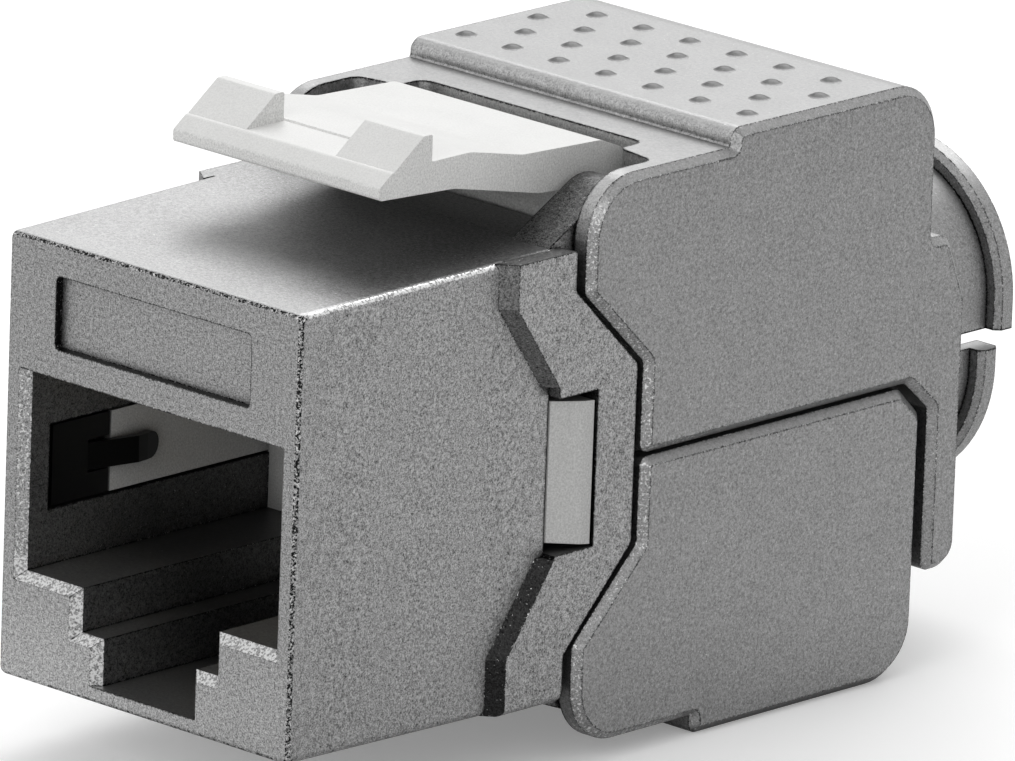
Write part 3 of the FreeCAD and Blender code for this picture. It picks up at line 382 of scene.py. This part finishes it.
def satin(graph, colour):
    """A satin metal surface of that colour, with a trace of relief from its fine grain."""
    fine = graph.grain(FINE_GRAIN)
    graph.surface(**{"Base Color": colour, "Metallic": 1.0, "Roughness": 0.34 + fine * 0.2,
                     "Normal": graph.bump(fine, 0.012, 0.5)})


def nickel(graph, level, contrast, edge, painted_shade, painted_highlight):
    """Satin nickel on a cast skin: speckled, with painted shade, painted highlights and ragged painted dark
    reflections on edges.

    Its last three arguments say where the edges, the painted shade and the painted highlights are, from 0
    to 1.
    """
    # Noise that makes the painted dark reflections and highlights ragged.
    dark_line_noise = (graph.grain(0.09, 3) - 0.5) * 2.2
    highlight_noise = (graph.grain(0.1, 3) - 0.5) * 2.2
    tone = speckled(graph, level, contrast)
    # Painted shade where the caller gives it.
    if painted_shade:
        tone = tone * (1 - painted_shade)
    # Painted shade in corners and gaps.
    tone = tone * (0.45 + graph.fade(graph.open_air(CORNER_REACH), 0.3, 0.85) * 0.55)
    # Painted highlights and dark reflections along edges, made ragged by noise.
    edge_highlight = graph.fade(edge + highlight_noise, 0.72, 0.95)
    bright = edge_highlight.larger(graph.fade(painted_highlight + highlight_noise, 0.36, 0.6))
    dark = graph.fade(edge + dark_line_noise, 0.54, 0.72)
    satin(graph, graph.mix(dark, graph.mix(bright, tone, grey(HIGHLIGHT_GREY)), grey(DARK_REFLECTION_GREY)))


def moulded(name, level, roughness, corners=None):
    """Moulded off-white plastic with the fine grain of its tool; corners says how far the painted shade in
    its corners reaches.
    """
    finish = material(name)
    graph = Graph(finish)
    fine = graph.grain(0.07)
    calm = 1 - graph.fade(graph.facing()["Z"], 0.4, 0.9) * 0.7
    tone = level * (1 + (fine - 0.5) * calm + (graph.grain(2.5) - 0.5) * 0.12)
    if corners:
        # Painted shade in corners and gaps.
        tone = tone * (0.3 + graph.fade(graph.open_air(corners), 0.2, 0.8) * 0.7)
    pale = graph.node("ShaderNodeCombineColor", {}, {"Red": tone, "Green": tone, "Blue": tone * 0.985})
    graph.surface(**{"Base Color": pale, "Roughness": roughness + fine * 0.12,
                     "Normal": graph.bump(fine, 0.01, 0.35)})
    return finish


def metal(name, colour, roughness):
    """Plain rolled metal, grained between its colour and a darker one."""
    finish = material(name)
    graph = Graph(finish)
    fine = graph.grain(0.08)
    darker = tuple(0.8 * part for part in colour[:3]) + (1,)
    graph.surface(**{"Base Color": graph.mix(fine, colour, darker),
                     "Metallic": 1.0, "Roughness": roughness + fine * 0.1})
    return finish


def laminate():
    """The circuit board's green solder mask over its weave."""
    finish = material("board_mask")
    graph = Graph(finish)
    weave = graph.grain(0.3)
    graph.surface(**{"Base Color": graph.mix(weave, (0.02, 0.12, 0.05, 1), (0.03, 0.17, 0.07, 1)),
                     "Roughness": 0.3 + weave * 0.1})
    return finish


def dress(finish, *nodes):
    for node in nodes:
        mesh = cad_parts[node].data
        mesh.materials.clear()
        mesh.materials.append(finish)


def dress_all():
    dress(shell_nickel(), "front_housing")
    dress(cover_nickel(), "upper_cover", "lower_cover")
    dress(moulded("latch_white", 0.78, 0.42), "keystone_latch")
    dress(moulded("insert_ivory", 0.52, 0.4, 1.5), "insert_body", "contact_carrier", "terminal_block",
          "upper_presser", "lower_presser")
    dress(moulded("guide_pale", 0.6, 0.22), "wire_manager")
    dress(laminate(), "circuit_board")
    dress(metal("spring_strip", (0.05, 0.05, 0.05, 1), 0.3), "left_shield_spring", "right_shield_spring")
    dress(metal("gold_plate", (0.83, 0.6, 0.22, 1), 0.22), *[f"contact_{n}" for n in range(1, 9)])
    blades = [f"{side}_blade_{n}" for side in ("upper", "lower") for n in range(1, 5)]
    dress(metal("tinned_bronze", (0.6, 0.55, 0.45, 1), 0.3), *blades)


# ---- grip pips ----------------------------------------------------------------------------------
def pip(shape, x, y, z):
    """One small bell-shaped pip standing on the pad."""
    rings = []
    for radius, height in PIP_PROFILE:
        ring = []
        for step in range(PIP_SIDES):
            turn = 2 * math.pi * step / PIP_SIDES
            place = Vector((x + radius * math.cos(turn), y + radius * math.sin(turn), z + height))
            ring.append(shape.verts.new(place * MM))
        rings.append(ring)
    for outer, inner in zip(rings, rings[1:]):
        for step in range(PIP_SIDES):
            after = (step + 1) % PIP_SIDES
            shape.faces.new((outer[step], outer[after], inner[after], inner[step]))
    shape.faces.new(rings[-1])
    shape.faces.new(list(reversed(rings[0])))


def grip_pips():
    """Rows of pips on the upper cover's pad, every other row set over by half a pitch."""
    pad_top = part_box("upper_cover")[1][2] / MM
    shape = bmesh.new()
    for row in range(PIP_ROWS):
        count = PIPS_IN_LONG_ROW - row % 2
        y = PAD_FRONT + PIP_FIRST_ROW + row * PIP_ROW_PITCH
        for column in range(count):
            pip(shape, (column - (count - 1) / 2) * PIP_PITCH, y, pad_top)
    data = bpy.data.meshes.new("grip_pips")
    shape.normal_update()
    shape.to_mesh(data)
    shape.free()
    for face in data.polygons:
        face.use_smooth = True
    data.materials.append(pip_nickel(pad_top))
    pips = bpy.data.objects.new("grip_pips", data)
    bpy.context.scene.collection.objects.link(pips)
    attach(pips, "upper_shell")


# ---- studio -------------------------------------------------------------------------------------
def studio_floor():
    """A pale floor, lifted to white for the camera and a little in reflections, with the jack's shadow."""
    data = bpy.data.meshes.new("studio_floor")
    shape = bmesh.new()
    bmesh.ops.create_grid(shape, x_segments=1, y_segments=1, size=FLOOR_HALF)
    shape.to_mesh(data)
    shape.free()
    floor = bpy.data.objects.new("studio_floor", data)
    floor.location = (0, 0, cad_low.z - FLOOR_GAP)
    bpy.context.scene.collection.objects.link(floor)
    paint = material("floor_paint")
    graph = Graph(paint)
    paths = graph.node("ShaderNodeLightPath", {}, {}, None)
    lift = paths["Is Camera Ray"] * FLOOR_LIFT + paths["Is Glossy Ray"] * FLOOR_GLOW
    graph.surface(**{"Base Color": grey(0.9), "Roughness": 0.9, "Emission Strength": 1.0,
                     "Emission Color": graph.mix(lift, grey(0), grey(1))})
    data.materials.append(paint)


def soft_lamp(name, bank):
    """A square lamp that faces the jack's middle."""
    lamp = bpy.data.lights.new(name, "AREA")
    lamp.shape = "RECTANGLE"
    lamp.size = lamp.size_y = bank["side"]
    lamp.energy = bank["watts"]
    offset = Vector(bank["offset"])
    holder = bpy.data.objects.new(name, lamp)
    holder.location = (cad_low + cad_high) / 2 + offset
    holder.rotation_euler = (-offset).to_track_quat("-Z", "Y").to_euler()
    bpy.context.scene.collection.objects.link(holder)


def studio_light():
    """A white sky, full strength where it is seen or reflected, and two soft lamps."""
    world = bpy.data.worlds.new("studio")
    bpy.context.scene.world = world
    graph = Graph(world)
    paths = graph.node("ShaderNodeLightPath", {}, {}, None)
    seen = (paths["Is Camera Ray"] + paths["Is Glossy Ray"] + paths["Is Transmission Ray"]).clamped()
    strength = SKY_LIGHT + seen * (1 - SKY_LIGHT)
    shade = graph.node("ShaderNodeBackground", {}, {"Color": grey(1), "Strength": strength})
    graph.node("ShaderNodeOutputWorld", {}, {"Surface": shade}, None)
    soft_lamp("top_bank", TOP_BANK)
    soft_lamp("front_bank", FRONT_BANK)


def camera():
    """A long lens that looks from the front right, a little above, at about the jack's middle."""
    level = math.cos(VIEW_ELEVATION)
    across = math.sin(VIEW_AZIMUTH) * level
    forward = -math.cos(VIEW_AZIMUTH) * level
    back = Vector((across, forward, math.sin(VIEW_ELEVATION)))
    right = Vector((math.cos(VIEW_AZIMUTH), math.sin(VIEW_AZIMUTH), 0))
    up = back.cross(right)
    tilt_right = right * math.cos(VIEW_ROLL) + up * math.sin(VIEW_ROLL)
    tilt_up = up * math.cos(VIEW_ROLL) - right * math.sin(VIEW_ROLL)
    centre = VIEW_TARGET + tilt_right * VIEW_RIGHT + tilt_up * VIEW_UP
    view = bpy.data.objects.new("view", bpy.data.cameras.new("view"))
    turn = Matrix((tilt_right, tilt_up, back)).transposed().to_4x4()
    view.matrix_world = Matrix.Translation(centre + back * VIEW_DISTANCE) @ turn
    view.data.sensor_width = SENSOR_WIDTH
    view.data.lens = SENSOR_WIDTH * VIEW_DISTANCE / VIEW_WIDTH
    view.data.clip_start = 0.01
    view.data.clip_end = 20
    bpy.context.scene.collection.objects.link(view)
    bpy.context.scene.camera = view


dress_all()
grip_pips()
studio_floor()
studio_light()
camera()
bpy.context.scene.view_settings.view_transform = "Standard"
